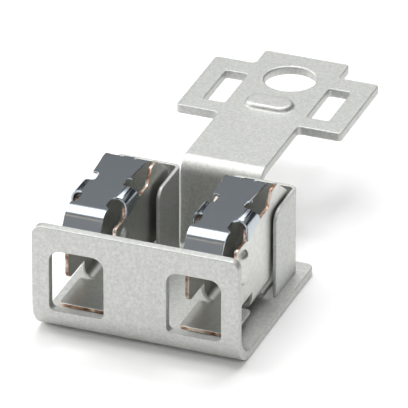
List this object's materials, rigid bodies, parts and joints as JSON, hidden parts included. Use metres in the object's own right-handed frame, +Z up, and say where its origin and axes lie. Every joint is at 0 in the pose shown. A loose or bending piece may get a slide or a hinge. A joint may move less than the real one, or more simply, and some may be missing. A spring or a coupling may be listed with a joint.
{
  "type": "fuse holder",
  "caption": "Sheet-metal fuse holder: bent bracket with windowed front wall, rear mounting tab with bolt hole and slots, and sprung contacts in support cages.",
  "frame": {"origin": "on the underside of the base, in the middle of the outline's width and length", "axes": "+X to the right seen from the front wall, +Y from the front wall to the tab, +Z up"},
  "size_m": [0.027, 0.057, 0.0164],
  "materials": {
    "tinned_sheet": "matte tin plate",
    "tinned_copper": "tin-plated copper with bare cut edges",
    "spring_steel": "bright rolled",
    "rivet_steel": "plated"
  },
  "bodies": {
    "root": {"bracket": "tinned_sheet", "contact_left": "tinned_copper", "contact_right": "tinned_copper", "spring_cap_left": "spring_steel", "spring_cap_right": "spring_steel", "support_cage_left": "tinned_sheet", "support_cage_right": "tinned_sheet", "rivet_left": "rivet_steel", "rivet_right": "rivet_steel"}
  },
  "joints": []
}
